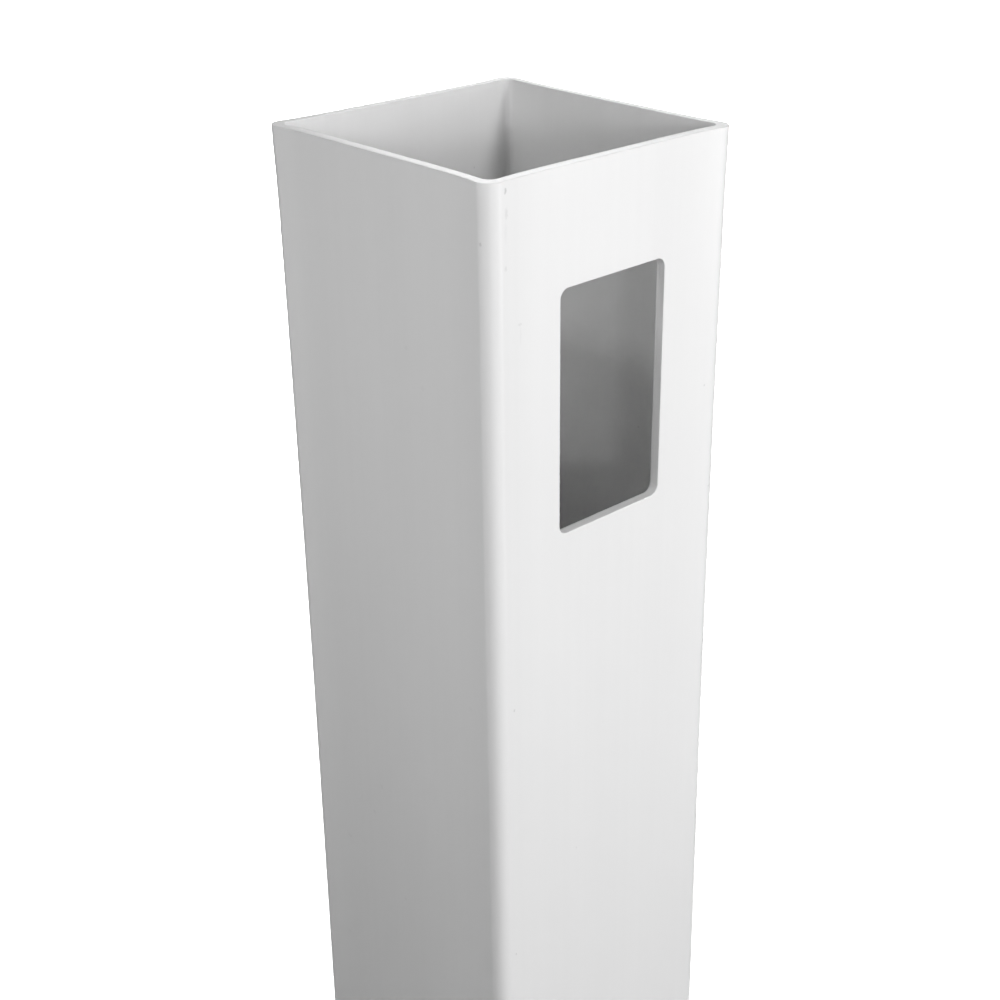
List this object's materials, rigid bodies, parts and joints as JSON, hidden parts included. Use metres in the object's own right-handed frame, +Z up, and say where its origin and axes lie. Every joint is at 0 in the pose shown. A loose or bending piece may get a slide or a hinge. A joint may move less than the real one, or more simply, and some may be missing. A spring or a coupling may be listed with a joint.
{
  "type": "fence post",
  "caption": "Hollow square white vinyl fence post with rounded corners, open sawn ends and routed rail holes in its front face.",
  "frame": {"origin": "middle of the post's foot, at ground level", "axes": "+Z up along the post, -Y out of the face with the rail holes, +X to the right of that face"},
  "size_m": [0.1016, 0.1016, 1.2192],
  "materials": {
    "white_vinyl": "white extruded PVC with a soft satin sheen, a few scuffs and specks"
  },
  "bodies": {
    "root": {"post": "white_vinyl"}
  },
  "joints": []
}
